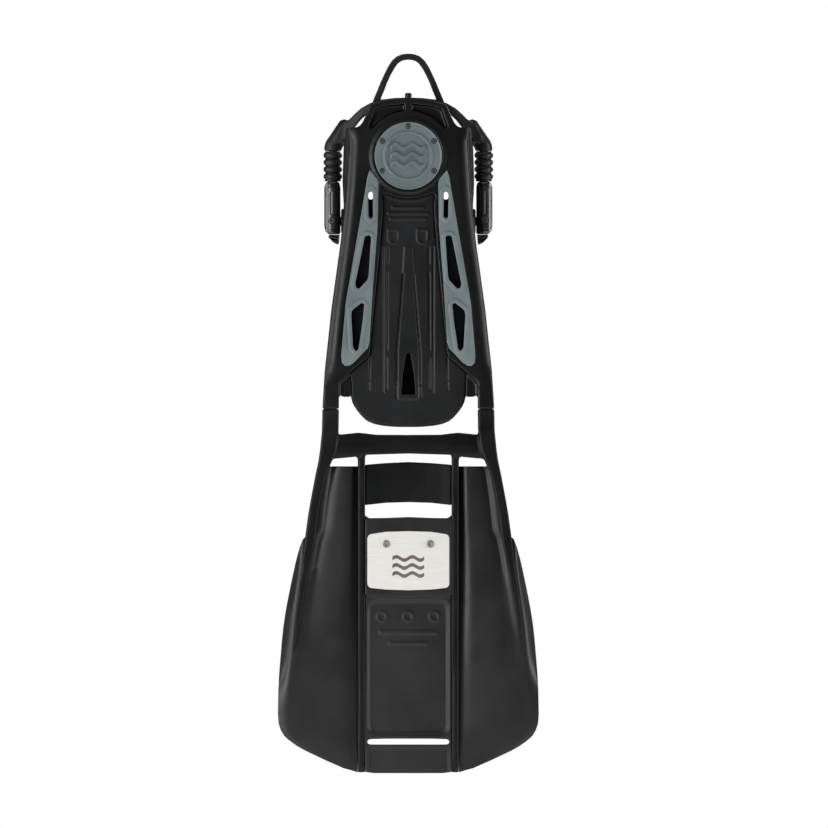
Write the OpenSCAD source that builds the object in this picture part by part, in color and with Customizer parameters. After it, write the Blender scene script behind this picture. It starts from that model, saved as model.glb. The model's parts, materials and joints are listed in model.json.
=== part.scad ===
// Open-heel diving fin with a bungee heel strap: foot unit, blade, strap and heel pad.
// Frame: +Z runs from the blade towards the heel, the sole faces -Y, X is across the foot.
// Heights below are measured from the blade's tip; place() moves the whole part so that
// the strap posts' level is Z = 0 and the footbed's surface is Y = 0.

/* [Blade] */
// half width of the blade at its widest
blade_half = 114.8; // [95:0.2:130]
// thickness of the soft wings
wing_t = 3.0; // [2:0.1:5]
// mid-plane of the blade, below the footbed
blade_y = -6; // [-9:0.5:-3]
// half width between the two long ribs
rib_in = 38; // [30:0.5:44]
// width of each long rib
rib_w = 6.5; // [4:0.5:9]
// how far the wings dip beside the ribs and rails
wing_dip = 4; // [0:0.5:5]

/* [Foot unit] */
// half width of the pocket's outside
pocket_half = 57; // [48:0.5:62]
// outer wall of the pocket
pocket_wall = 3.5; // [2.5:0.1:6]
// height of the instep rim above the footbed
instep_h = 86; // [70:1:100]
// front plane of the stiff frame
frame_front = -14; // [-16:0.5:-11]
// back plane of the stiff frame, where the pocket's floor begins
frame_back = -4; // [-6:0.5:-3]
// outermost plane of the grip pads and the heel disc
sole_plane = -16; // [-18:0.5:-15]

/* [Strap] */
// strap posts' height above the footbed
post_y = 38; // [30:1:46]
// strap posts' height above the blade's tip
post_z = 486; // [470:1:500]
// radius of the strap posts
post_r = 4; // [3:0.1:6]
// radial running clearance of the buckles on their posts
post_gap = 0.05; // [0.01:0.01:0.1]
// centre line of each side of the strap
strap_x = 66.6; // [64:0.1:70]
// radius of the bungee cord
cord_r = 4; // [3:0.1:5]

/* [Name plate] */
// width of the steel plate
plate_w = 72; // [60:1:74]
// height of the steel plate
plate_h = 52; // [44:1:54]

/* [Hidden] */
$fn = 48;
rib_out = rib_in + rib_w;
wing_front = blade_y - wing_t / 2;
wing_back = blade_y + wing_t / 2;
// heights of the two ends of the flex blocks
flex_z0 = 301;
flex_z1 = 320.5;
// top of the raised winglets, and how far they rise towards the instep side
winglet_z = 206;
winglet_rise = 9;
// centre of the heel disc, its screws' circle and their angles
disc_z = 543;
disc_r = 29.7;
disc_screw_r = 26.2;
disc_angles = [90, 30, 150, 210, 330];
// the plate's lower edge and its two screws
plate_z = 161;
plate_front = -13.6;
plate_screw_x = 19.4;
plate_screw_z = 201.7;
// screw of the buckle's face plate, from the strap post
buckle_screw = [67.6, 0.6];
// the small peg on top of the heel
peg_r = 3;
peg_y = -8.5;
peg_z = 591;

// the node to draw, or "all" of them

// ---------- small helpers ----------

// a shape drawn in X and Z, given depth from y0 to y1
module front(y0, y1) translate([0, y1, 0]) rotate([90, 0, 0]) linear_extrude(y1 - y0) children();

// a shape drawn in Y and Z, given width from x0 to x1
module side(x0, x1) translate([x0, 0, 0]) rotate([90, 0, 90]) linear_extrude(x1 - x0) children();

module box(a, b) translate(a) cube([b[0] - a[0], b[1] - a[1], b[2] - a[2]]);

module both() { children(); mirror([1, 0, 0]) children(); }

module place() translate([0, 0, -post_z]) children();

function sym(p) = concat(p, [for (i = [len(p) - 1:-1:0]) if (abs(p[i][0]) > 0.001) [-p[i][0], p[i][1]]]);

function tri(a, b, c, d) = [[a, b, c], [a, c, d]];

function arc(cx, cz, r, a0, a1, n) = [for (i = [0:n]) let (a = a0 + (a1 - a0) * i / n)
  [cx + r * cos(a), cz + r * sin(a)]];

function mix(a, b, t) = a + (b - a) * t;

function ease(t) = let (q = min(1, max(0, t))) q * q * (3 - 2 * q);

module round_rect(w, z0, z1, r) polygon(concat(
  arc(w - r, z1 - r, r, 0, 90, 4), arc(-w + r, z1 - r, r, 90, 180, 4),
  arc(-w + r, z0 + r, r, 180, 270, 4), arc(w - r, z0 + r, r, 270, 360, 4)));

// ---------- blade ----------

// half width of the blade's outline at a height above the tip
function outline(z) = lookup(z, [[0.6, 44], [2.6, 50], [4.4, 57], [8, 65], [11, 72], [20, 91], [24, 98],
  [29, 105], [33, 109.3], [38, 112.3], [44, 114.2], [52, blade_half], [73, 114.4], [91, 113.5], [108, 112],
  [126, 110.6], [143, 108], [152, 106.3], [170, 102.6], [187, 99], [200, 95.2], [209, 91.6], [214, 90],
  [223, 89], [240, 86], [258, 82.7], [270, 80]]);

// inner and outer edge of the tapering rail
function rail_in(z) = lookup(z, [[60, 104], [100, 102], [115, 98.6], [134, 95.4], [152, 92.3], [181, 87],
  [209, 81.5], [228, 79], [245, 76.5], [263, 72], [275, 67], [285, 64], [301, 61.3], [321, 61]]);

function rail_out(z) = lookup(z, [[60, 105], [100, 103], [115, 101.8], [134, 100], [152, 98], [181, 94],
  [209, 90.6], [228, 88], [245, 85], [263, 81.6], [275, 79], [285, 77.6], [301, 76], [321, 75.6]]);

wing_rows = [0.8, 2.6, 4.4, 8, 11, 15, 20, 24, 29, 33, 38, 44, 52, 62, 74, 88, 100, 110, 121, 134, 146, 158,
  170, 181, 190, 199, 206, 209.5, 213, 220, 232, 245, 258, 266, 270];

// half width the wing reaches: the outline, or the middle of the rail above the winglet
function wing_half(z) = mix(outline(z), (rail_in(z) + rail_out(z)) / 2, ease((z - winglet_z) / 7));

// stations across one row: valley beside the rib, crown, valley beside the rail, flat under it, winglet
wing_step = [0, 0.07, 0.15, 0.25, 0.45, 0.72, 0.9, 1];
rib_valley = [1, 0.9, 0.35, 0, 0.05, 0.08, 0, 0];
rail_valley = [0, 0, 0, 0, 0, 0.1, 0.75, 0];

function row_x(z) = let (w = wing_half(z), span = w - rib_out,
    a = min(rail_in(z) - 0.4, rib_out + 0.8 * span),
    b = min(rail_out(z) + 0.4, z < 100 ? rib_out + 0.9 * span : w - 0.5))
  concat([for (t = wing_step) mix(rib_out, a, t)],
    [for (i = [0:4]) mix(max(a + 0.1 * (w - a), b), w, i / 4)]);

function row_y(z) = let (near_rib = wing_dip * ease(z / 60) * (0.5 + 0.5 * ease((z - 60) / 120)),
    near_rail = wing_dip * ease((z - 90) / 60),
    rise = (winglet_rise * ease((z - 60) / 60) + 1.5 * ease(z / 40)) * ease((winglet_z - z) / 34))
  concat([for (i = [0:7]) blade_y + near_rib * rib_valley[i] + near_rail * rail_valley[i]],
    [for (i = [0:4]) blade_y + rise * pow(i / 4, 1.6)]);

// the membrane: a front and a back sheet of the same stations, closed round the edge
module wing() {
  rows = len(wing_rows);
  cols = 13;
  n = rows * cols;
  function sheet(dy) = [for (z = wing_rows) let (xs = row_x(z), ys = row_y(z))
    for (i = [0:cols - 1]) [xs[i], ys[i] + dy, z]];
  faces = concat(
    [for (r = [0:rows - 2], c = [0:cols - 2]) let (k = r * cols + c)
      each tri(k, k + cols, k + cols + 1, k + 1)],
    [for (r = [0:rows - 2], c = [0:cols - 2]) let (k = n + r * cols + c)
      each tri(k, k + 1, k + cols + 1, k + cols)],
    [for (r = [0:rows - 2]) let (k = r * cols) each tri(k, n + k, n + k + cols, k + cols)],
    [for (r = [0:rows - 2]) let (k = r * cols + cols - 1) each tri(k, k + cols, n + k + cols, n + k)],
    [for (c = [0:cols - 2]) each tri(c, c + 1, n + c + 1, n + c)],
    [for (c = [0:cols - 2]) let (k = (rows - 1) * cols + c) each tri(k, n + k, n + k + 1, k + 1)]);
  color("#1a1b1d")
    polyhedron(points = concat(sheet(-wing_t / 2), sheet(wing_t / 2)), faces = faces, convexity = 6);
}

rail_z = [100, 115, 134, 152, 181, 209, 228, 245, 263, 275, 285, flex_z0];

// the arm and its tapering rail, one side
module rail() intersection() {
  front(-16, 8) polygon(concat([for (z = rail_z) [rail_out(z), z]],
    [for (i = [len(rail_z) - 1:-1:0]) [rail_in(rail_z[i]), rail_z[i]]]));
  side(55, 110) polygon([[-7.6, 100], [-12, 134], [-14.6, 200], [-15.5, 270], [-15.5, flex_z0],
    [6, flex_z0], [6, 262], [4.6, 200], [0, 134], [-4.4, 100]]);
}

// the bar between the arms, rounded in section
module crossbar() intersection() {
  front(-15, 3) polygon(sym([[0, 297.6], [28, 297.8], [38, 299], [44, 299.6], [52, 298.8], [61.3, 297.8],
    [64, 285.5], [66.5, 276.5], [56, 277.4], [46, 278.4], [38, 280], [0, 281.2]]));
  side(-70, 70) polygon([[-10, 270], [-13.6, 282], [-13.8, 288], [-12.4, 295], [-8.5, 302], [-2, 302],
    [0.6, 296], [1.8, 288], [1.4, 280], [-2, 270]]);
}

// one of the two ribs that run from the crossbar to the tip
module long_rib() intersection() {
  front(-14, 2)
    polygon([[rib_in, 0.8], [rib_out, 0.8], [rib_out, 279], [rib_in + 1.2, 281], [rib_in, 281]]);
  side(30, 50) polygon([[-7.5, 0.5], [-10, 5], [-11.6, 30], [-12.4, 150], [-12.4, 224], [-11, 246],
    [-11.6, 281], [0, 281], [-0.4, 246], [1, 224], [1, 150], [-1, 40], [-4.5, 0.5]]);
}

module blade_frame() color("#1c1d1f") {
  both() difference() {
    rail();
    box([60, wing_front, 90], [110, wing_back, 270.4]);
  }
  crossbar();
  both() long_rib();
}

// a rectangle across the middle plane
module bar(w, z0, z1) polygon(sym([[0, z0], [w, z0], [w, z1], [0, z1]]));

module hoop(x, z, r, t) translate([x, z]) difference() {
  circle(r = r);
  circle(r = r - t);
}

module centre_panel() color("#1d1f21") {
  difference() {
    union() {
      // web down the middle, then the raised pad around the plate
      front(-10.6, -2.6) polygon(sym([[0, 0], [30, 0], [rib_in, 1], [rib_in, 228], [36.6, 225.6],
        [34, 224.4], [20, 224.6], [0, 225.4]]));
      front(-13, -10.6) polygon(sym([[0, 154.4], [20, 155], [rib_in, 157], [rib_in, 224], [20, 224.2],
        [0, 225]]));
    }
    // stepped recess below the pad
    front(-14, -8.4) round_rect(34.6, 35, 151, 7);
    front(-14, -9.6) round_rect(36, 33.6, 152.4, 7.6);
    // shallow seat of the plate
    front(-14, -12) plate_shape(0.25);
    // slot and thinned trailing strip
    front(-20, 5)
      polygon(sym([[0, 25.3], [34, 25.3], [36, 26.4], [36, 28.8], [34, 30], [20, 30.4], [0, 30.4]]));
    side(2 - rib_in, rib_in - 2) polygon([[-11, -1], [-11, 24], [-8.6, 22], [-7.6, -1]]);
    side(2 - rib_in, rib_in - 2) polygon([[-2, -1], [-2, 22], [-4, 20], [-5, -1]]);
    plate_screw_holes();
  }
  // plain raised rings and bars on the recess floor
  front(-9, -8.4) {
    for (x = [-23, 0, 23]) hoop(x, 138, 4.6, 1.1);
    bar(25, 122.6, 125.4);
    bar(17, 113.4, 115.4);
  }
}

module plate_screw_holes() for (x = [-plate_screw_x, plate_screw_x])
  translate([x, -20, plate_screw_z]) rotate([-90, 0, 0]) cylinder(r = 2.1, h = 30);

// outline of the plate, grown by g, with slightly bowed long edges
module plate_shape(g) {
  r = 4;
  a = plate_w / 2 - r;
  z0 = plate_z + r + 2;
  z1 = plate_z + plate_h - r - 2.5;
  polygon(sym(concat([[0, plate_z - g], [20, plate_z + 0.7 - g]], arc(a, z0, r + g, -78, 0, 4),
    arc(a, z1, r + g, 0, 80, 4), [[20, plate_z + plate_h - 0.6 + g], [0, plate_z + plate_h + g]])));
}

// three plain waves, cut into the plate
module waves(x0, x1, z, t, a) for (k = [-1, 0, 1]) polygon(concat(
  [for (i = [0:12]) [mix(x0, x1, i / 12), z + k * t * 2.2 + a * sin(i * 60) + t / 2]],
  [for (i = [12:-1:0]) [mix(x0, x1, i / 12), z + k * t * 2.2 + a * sin(i * 60) - t / 2]]));

module name_plate() color("#c9cacb") difference() {
  front(plate_front, -12) plate_shape(0);
  front(-14, plate_front + 0.35) waves(-14, 14, 182, 3.2, 1.6);
  plate_screw_holes();
}

// a domed screw with a hex socket: head radius r from plane y, shank radius rs
module screw(x, z, y, r, rs, len) translate([x, y, z]) rotate([-90, 0, 0]) difference() {
  union() {
    cylinder(r1 = r - 0.5, r2 = r, h = 0.6);
    translate([0, 0, 0.6]) cylinder(r = r, h = 0.5);
    translate([0, 0, 1.1]) cylinder(r = rs, h = len);
  }
  translate([0, 0, -1]) cylinder(r = r * 0.42, h = 1.7, $fn = 6);
}

module plate_screws() color("#b9babb") for (x = [-plate_screw_x, plate_screw_x])
  screw(x, plate_screw_z, plate_front - 1.1, 3.6, 2.0, 12);

module plate_nuts() color("#b9babb") for (x = [-plate_screw_x, plate_screw_x])
  translate([x, -2.6, plate_screw_z]) rotate([-90, 0, 0]) difference() {
    cylinder(r = 4.4, h = 2.6, $fn = 6);
    translate([0, 0, -1]) cylinder(r = 2.1, h = 5);
  }

// arched strip between the two windows above the plate
module centre_bridge() color("#1a1b1d") intersection() {
  front(-12, 2)
    polygon(sym([[0, 238.4], [20, 237.8], [rib_in, 235.8], [rib_in, 271.4], [20, 272.9], [0, 273.8]]));
  linear_extrude(300) polygon([[-rib_in, -8.2], [-28, -6.6], [-14, -5.6], [0, -5.2], [14, -5.6], [28, -6.6],
    [rib_in, -8.2], [rib_in, -4.6], [28, -3], [14, -2], [0, -1.6], [-14, -2], [-28, -3], [-rib_in, -4.6]]);
}

module flex_block() color("#1c1d1f") intersection() {
  front(-16, 8) polygon([[61, flex_z1], [61.3, flex_z0], [76, flex_z0], [75.6, flex_z1]]);
  side(55, 80) polygon([[-15.5, flex_z0], [-14.6, 305.5], [-14.4, 311], [-14.6, 316], [-15.2, flex_z1],
    [6, flex_z1], [5.2, 316], [5, 311], [5.2, 305.5], [6, flex_z0]]);
}

// ---------- foot unit ----------

function frame_half(z) = lookup(z, [[320.5, 75.6], [328, 75.2], [355, 73.5], [381, 70.6], [407, 67.9], [434, 64.2],
  [450, 62], [464, 60], [478, 58.4], [487, 57.4]]);

// outlines of the sole panel's upper end, its toe, and the heel, right half
panel_edge = [[0, 505.2], [8, 505.8], [15, 507.8], [20, 509.8], [23, 509], [24, 506.6], [22.6, 503.6],
  [22.4, 495], [25, 461], [30, 410], [34.3, 367]];

toe_edge = [[50.5, 353], [50.5, 331], [49.2, 326], [47.4, 322.4], [45, 319], [42, 315.2], [38.7, 312],
  [33, 308.8], [26, 306.6], [14.5, 305], [0, 304.5]];

frame_heel = [[0, 594], [12, 593.2], [24, 590.6], [33, 588], [34.6, 585], [39.6, 574], [41, 571.4],
  [43.4, 569], [46, 568], [52.2, 568], [53, 545], [54.8, 515], [57, 490]];

// the stiff chassis outside the central sole panel
module frame_plate() difference() {
  front(frame_front, frame_back) polygon(sym(concat(frame_heel,
    [for (z = [487, 478, 464, 450, 434, 407, 381, 355, 345]) [frame_half(z), z]],
    [[61, 343], [50.5, 353], [50.5, 340], [0, 340]])));
  front(-30, 10) polygon(sym(concat(panel_edge, [[50.5, 353], [50.5, 300], [0, 300]])));
}

// outer strips that run down beside the pocket and end as arms
module frame_arm() {
  intersection() {
    front(-16, 14) polygon(concat(
      [for (z = [487, 478, 464, 450, 434, 407, 381, 355, 328, flex_z1]) [frame_half(z), z]],
      [[61, flex_z1], [61, 343], [pocket_half, 352], [pocket_half, 486]]));
    side(50, 80) polygon([[-15.5, flex_z1], [-15.5, 334], [-14, 352], [-14, 487], [-4, 487], [3, 470],
      [8, 440], [10, 400], [8, 350], [6, 334], [6, flex_z1]]);
  }
  // webs beside the toe
  front(-9, -4) polygon([[50.5, 353], [61, 343], [61, 333], [57.5, 331], [50.5, 331]]);
}

// through a screw's place on the heel disc, radius r and down to plane y
module disc_holes(r, y) for (a = disc_angles)
  translate([disc_screw_r * cos(a), -30, disc_z + disc_screw_r * sin(a)]) rotate([-90, 0, 0])
    cylinder(r = r, h = y + 30);

// the three windows in each pad
module pad_holes() {
  polygon([[31.2, 511.2], [33.8, 512.6], [35.4, 509], [35, 489.4], [33.2, 487.4], [31, 489.4]]);
  polygon([[32.6, 471.6], [34.8, 473.2], [38.2, 472.2], [46.6, 431], [46, 427], [43, 426.2], [35.8, 434],
    [34.8, 438]]);
  polygon([[38.6, 412.4], [41, 413.8], [49.4, 407.2], [50.2, 403.4], [48.6, 374.6], [46.2, 371.2],
    [43.8, 373], [40, 398]]);
}

pad_edge = [[34, 530.4], [36, 524.5], [44, 477], [55, 414], [59, 367.5], [58.4, 361], [55.6, 358.2],
  [52, 358.4], [48, 361], [35.6, 374], [34.2, 379], [31, 429], [27, 480], [26.2, 519], [27.4, 523]];

module foot_frame() color("#1d1f21") difference() {
  union() {
    frame_plate();
    both() frame_arm();
    // ring that seats the heel disc
    front(-15.2, frame_front) translate([0, disc_z]) circle(r = 32.6);
  }
  // seat of the disc
  front(-30, -12) translate([0, disc_z]) circle(r = disc_r + 0.2);
  // hollow crescents between the disc and the heel's edge
  both() front(-20, -9) polygon(concat([[3, 583], [3, 588.6], [22, 586.6], [29.4, 583.6], [30.6, 580],
    [34.4, 569], [31.4, 566]], arc(0, disc_z, 39.5, 43, 85, 8)));
  // windows under the pads, and the seats the pads lie in
  both() front(-30, 8) pad_holes();
  both() front(-14.1, -13) polygon(pad_edge);
  disc_holes(1.1, -6);
  peg_pin(4);
}

module grip() color("#5d686b") difference() {
  union() {
    front(-14.9, -13) polygon(pad_edge);
    intersection() {
      front(sole_plane, -14.9) rims();
      front(sole_plane, -14.9) polygon(pad_edge);
    }
  }
  front(-30, 8) pad_holes();
}

// raised rims round the windows
module rims() {
  polygon([[28.6, 512.6], [32.2, 517], [35.8, 515.4], [38, 509.6], [38.2, 488.4], [34.8, 484.4],
    [31.4, 484.6], [28.4, 488]]);
  polygon([[29.8, 473], [32.6, 476.4], [38.6, 476], [41.6, 473], [50, 431.6], [49.2, 424.6], [44.6, 422.6],
    [41, 423.8], [32.6, 432.6]]);
  polygon([[35.6, 411.8], [38.8, 417.2], [43, 416.8], [52.6, 409.4], [53.4, 403.6], [51.6, 373.4],
    [47.6, 368], [43.6, 368.8], [40.6, 372.4], [37.2, 397.6]]);
}

module drain_shape() polygon([[-6.4, 333], [6.4, 333], [4.6, 352], [1.6, 370], [-1.6, 370], [-4.6, 352]]);

// a U-shaped plain outline, grown by g
module shield(g) polygon(concat([[7.6 - g, 478.6 + g], [7.6 - g, 470.6]],
  arc(12.8, 470.6, 5.2 + g, 200, 340, 6), [[18 + g, 478.6 + g]]));

module sole_panel() color("#141517") difference() {
  union() {
    front(-9.4, frame_back) polygon(sym(concat(panel_edge, toe_edge)));
    // raised lip under the disc, and raised band in the middle
    front(-10.8, -9.4) polygon(sym([[0, 505.2], [8, 505.8], [15, 507.8], [20, 509.8], [22.6, 508.6],
      [19.6, 507.4], [15, 505.4], [8, 503.4], [0, 502.8]]));
    front(-10.2, -9.4) polygon(sym([[0, 463], [3.2, 463], [8.6, 372], [8.6, 329], [0, 329]]));
    // plain raised bars and shields
    front(-10, -9.4) {
      bar(14, 496.6, 498.4);
      bar(18, 491.6, 493.4);
      bar(16, 486.8, 488.6);
      both() difference() {
        shield(0);
        shield(-1.3);
      }
    }
  }
  both() {
    front(-20, -8.2) polygon([[17.4, 463], [18.9, 463], [19.9, 337], [18.4, 337]]);
    front(-20, -8.2) polygon([[21.2, 463], [22.7, 463], [22.7, 334], [21.2, 334]]);
    front(-20, -8.2) polygon([[33.4, 366], [34.9, 366], [35.4, 336], [33.9, 336]]);
    front(-20, -8.2) polygon([[3.6, 440], [5.1, 440], [10.8, 372], [11.4, 330], [9.9, 330], [9.3, 372]]);
    front(-20, -7.4) polygon([[22.4, 506], [23.4, 506], [25, 470], [23.6, 470]]);
  }
  front(-30, 8) drain_shape();
  // step round the toe's edge
  difference() {
    front(-20, -8.2) bar(60, 302, 345);
    front(-21, 0) polygon(sym([[0, 346], [49.6, 346], [49.6, 331], [48.2, 326.4], [44.2, 319.8], [38, 313],
      [25.6, 307.8], [14.4, 306], [0, 305.6]]));
  }
}

toe_z = 304.5; // the toe's end

// the soft foot pocket: a cup of rounded sections, closed at the toe, its rim sloping from instep to heel
function pocket_w(z) = lookup(z, [[toe_z, 12], [305.4, 22], [307, 30], [309.5, 36], [312, 39], [315.2, 42],
  [319, 45], [322.4, 47.4], [326, 49.2], [331, 50.5], [345, 53.4], [360, 56], [372, pocket_half],
  [516, pocket_half], [540, pocket_half - 0.6], [568, pocket_half - 1.8]]);

function pocket_h(z) = lookup(z, [[toe_z, 0], [305.4, 5], [307, 12], [309.5, 19], [312, 24.5], [315.2, 30],
  [319, 35], [322.4, 38.6], [326, 41.6], [331, 45], [345, 52], [367, 60.5], [400, 72], [425, instep_h - 5],
  [440, instep_h]]);

// height of the rim at a distance above the footbed
function rim_z(y) = lookup(y, [[12, 568], [13, 566], [15, 561], [18, 554.6], [25, 543], [34, 529.6],
  [44, 515.4], [52, 501.6], [58, 488.4], [64, 475], [71, 462], [78, 450.6], [82, 444], [instep_h, 438]]);

rim_base = 420; // rows above this height bend towards the rim
toe_rows = [toe_z, 305.4, 307, 309.5, 312, 315.2, 319, 322.4, 326, 331, 338, 345, 360, 372, 386, 400, 412,
  rim_base];
inner_rows = [311, 313, 316, 320, 325, 331, 338, 345, 360, 372, 386, 400, 412, rim_base];
rim_steps = 7;

// one point of a section: across the floor, round its corner and up over the arch
function section_point(i, w, h, y0, c) = let (hs = y0 + (h - y0) * 0.42, a = (i - 5) * 10.5)
  i == 0 ? [w * 0.28, y0] :
  i == 1 ? [max(w - c * 1.8, w * 0.55), y0] :
  i == 2 ? [max(w - c * 0.72, w * 0.78), y0 + min(c * 0.2, (hs - y0) * 0.2)] :
  i == 3 ? [max(w - c * 0.2, w * 0.93), y0 + min(c * 0.72, (hs - y0) * 0.5)] :
  i == 4 ? [w, y0 + min(c * 1.5, (hs - y0) * 0.8)] :
  [w * pow(cos(a), 0.82), hs + (h - hs) * pow(sin(a), 0.9)];

half_ring = 14;

// a closed section at height z, bent towards the rim by t
function ring(w, h, y0, c, z, t) = [for (k = [0:2 * half_ring - 1])
  let (i = k < half_ring ? k : 2 * half_ring - 1 - k, p = section_point(i, w, h, y0, c),
    zt = mix(z, rim_z(p[1]), t))
  [(k < half_ring ? 1 : -1) * p[0] * pocket_w(zt) / pocket_w(max(z, toe_z)), p[1], zt]];

module pocket_cup() {
  m = 2 * half_ring;
  roof = pocket_wall + 0.6;
  // height of the arch in a row that bends towards the rim
  function bent_h(k) = mix(pocket_h(rim_base), instep_h, ease(k / rim_steps * 2));
  o = concat(
    [for (z = toe_rows) each ring(pocket_w(z), max(pocket_h(z), frame_back + 3), frame_back, 6, z, 0)],
    [for (k = [1:rim_steps]) each ring(pocket_half, bent_h(k), frame_back, 6, rim_base, k / rim_steps)]);
  q = concat([for (z = inner_rows) let (e = ease((z - 311) / 20))
      each ring(pocket_w(z) - mix(9, pocket_wall, e), pocket_h(z) - mix(10, roof, e), 0, 5, z, 0)],
    [for (k = [1:rim_steps])
      each ring(pocket_half - pocket_wall, bent_h(k) - roof, 0, 5, rim_base, k / rim_steps)]);
  a = len(toe_rows) + rim_steps;
  b = len(inner_rows) + rim_steps;
  n = a * m;
  last = (a + b) * m;
  // the next point round a section
  function next(i) = (i + 1) % m;
  faces = concat(
    [for (r = [0:a - 2], i = [0:m - 1]) let (k = r * m, j = next(i))
      each tri(k + i, k + m + i, k + m + j, k + j)],
    [for (r = [0:b - 2], i = [0:m - 1]) let (k = n + r * m, j = next(i))
      each tri(k + i, k + j, k + m + j, k + m + i)],
    [for (i = [0:m - 1]) let (j = next(i), k = n - m, l = last - m) each tri(k + i, l + i, l + j, k + j)],
    [for (i = [0:m - 1]) [i, next(i), last]],
    [for (i = [0:m - 1]) [n + next(i), n + i, last + 1]]);
  polyhedron(points = concat(o, q, [[0, -2.2, 304.4], [0, 5, 310.6]]), faces = faces, convexity = 8);
}

module pocket_shell() color("#17181a") difference() {
  pocket_cup();
  // drain at the toe and the two upper windows of the sole
  front(-30, 8) drain_shape();
  both() front(-30, 8) polygon([[31.2, 511.2], [33.8, 512.6], [35.4, 509], [35.2, 504.4], [31, 504.4]]);
}

module heel_disc() color("#5d686b") difference() {
  union() {
    front(-14.9, -12) translate([0, disc_z]) circle(r = disc_r);
    front(-15.5, -14.9) hoop(0, disc_z, disc_r, 1);
    // raised ring and plain waves
    front(sole_plane, -14.9) hoop(0, disc_z, 21.6, 1.7);
    front(sole_plane, -14.9) waves(-15, 15, disc_z, 3.6, 2.2);
  }
  disc_holes(2.5, -13.9);
  disc_holes(1.1, -6);
}

module disc_screws() color("#4b5254") for (a = disc_angles)
  screw(disc_screw_r * cos(a), disc_z + disc_screw_r * sin(a), -15, 2.4, 1.05, 7);

module peg_pin(h) translate([0, peg_y, peg_z]) cylinder(r = peg_r, h = h);

module heel_peg() color("#1a1b1d") {
  peg_pin(6.4);
  translate([0, peg_y, peg_z + 6.4]) cylinder(r1 = peg_r, r2 = peg_r - 1, h = 1);
}

// the post a buckle turns on, with its round foot against the pocket
module strap_post() color("#141416") {
  translate([pocket_half, post_y, post_z]) rotate([0, 90, 0]) {
    cylinder(r = 11, h = 1.6);
    translate([0, 0, 1.6]) cylinder(r1 = 11, r2 = 9.6, h = 0.8);
    cylinder(r = post_r, h = 15.6);
  }
}

// ---------- strap ----------

// the buckle's outline in Y and Z, from the post
buckle_yz = [[-9, -9], [-6.6, -11.4], [6.4, -11.4], [9, -8.8], [9.6, 26], [8.4, 33.6], [7, 35], [-7, 35],
  [-8.4, 33.6], [-9.6, 26]];

module at_post() translate([0, post_y, post_z]) children();

module buckle() color("#1b1c1e") at_post() difference() {
  intersection() {
    side(59.9, 74.2) polygon(buckle_yz);
    front(-20, 20) polygon([[59.9, -10], [60.8, -11.6], [70.4, -11.6], [73.6, -8], [74.2, -4], [74.2, 30],
      [72.6, 34], [70.6, 35.2], [62.6, 35.2], [60.6, 33.6], [59.9, 30]]);
  }
  rotate([0, 90, 0]) cylinder(r = post_r + post_gap, h = 72.8);
  // groove that the face plate lies in
  front(-20, -8.6) polygon([[64.2, -7], [73, -7], [73, 30], [64.2, 30]]);
  // socket of the cord
  translate([strap_x, 0, 18]) cylinder(r = cord_r, h = 20);
  buckle_screw_hole(1, -6);
}

module buckle_screw_hole(r, y) translate([buckle_screw[0], -30, buckle_screw[1]]) rotate([-90, 0, 0])
  cylinder(r = r, h = y + 30);

module buckle_cover() color("#2a2b2d") at_post() difference() {
  front(-10.2, -8.6) polygon([[64.2, -6], [65.2, -7], [71.4, -7], [73, -5.4], [73, 28.4], [71.4, 30],
    [65.2, 30], [64.2, 29]]);
  buckle_screw_hole(1, -6);
  buckle_screw_hole(2.6, -9.3);
  front(-12, -9.7) polygon([[67.4, 6], [69, 6], [69, 26], [67.4, 26]]);
}

module buckle_screws() color("#3a3b3d") both() at_post()
  screw(buckle_screw[0], buckle_screw[1], -10.4, 2.5, 0.95, 3.2);

// angled latch at the buckle's lower end
module clip() color("#222325") at_post() difference() {
  front(-6.5, 6.5) polygon([[60.6, -11.8], [70.2, -11.8], [70.6, -14], [66.4, -18.6], [62.4, -20.6],
    [61.2, -19.6]]);
  for (z = [-14.2, -16.4]) front(-7, -5.9) polygon([[61.8, z - 0.5], [67.6, z + 0.6], [67.6, z + 1.4],
    [61.8, z + 0.3]]);
}

// height where the heel pad's cuffs begin
cuff_z = 548;
// radius and angle of the cord's bend into the heel pad
bend_r = 10;
bend_a = 34;

// a round path up one side of the strap: straight, bent inwards, straight again
module cord_path(r, z0, deep) {
  translate([strap_x, post_y, z0]) cylinder(r = r - 0.2, h = cuff_z + 2 - z0);
  translate([strap_x - bend_r, post_y, cuff_z + 1]) {
    rotate([90, 0, 0]) rotate_extrude(angle = bend_a) translate([bend_r, 0]) circle(r = r);
    rotate([0, -bend_a, 0]) translate([bend_r, 0, -1]) cylinder(r = r - 0.2, h = deep + 1);
  }
}

module bungee() color("#101113") cord_path(cord_r, post_z + 18, 9);

// ribbed sleeve over the cord
module sleeve() color("#16171a") translate([strap_x, post_y, 0]) rotate_extrude() polygon(concat(
  [[cord_r + 0.05, 521.2], [7.2, 521.2], [7.2, 522.4]],
  [for (k = [0:3]) let (z = 522.8 + k * 6.2)
    each [[6.4, z], [7.8, z + 0.9], [8.3, z + 2.2], [8.3, z + 3.4], [7.8, z + 4.7], [6.4, z + 5.6]]],
  [[7.2, 547.8], [cord_r + 0.05, 547.8]]));

// ---------- heel pad ----------

// outer and inner outline of the band, right half
band_out = [[0, 595], [12, 594.6], [24, 593.2], [34, 590], [42, 585.4], [48, 580], [52, 575.8], [56.6, 573.4],
  [60.8, 569.6], [64.4, 562], [66, 556]];
band_in = [[57, 555], [53, 562], [48.2, 567.6], [42, 575.6], [36, 581], [27.4, 585], [16, 587.4],
  [0, 588.2]];
// half depth of the band across its width
band_half = [[0, 17], [26, 16.4], [40, 13.6], [50, 10.6], [58, 8.6], [70, 7.8]];

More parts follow.
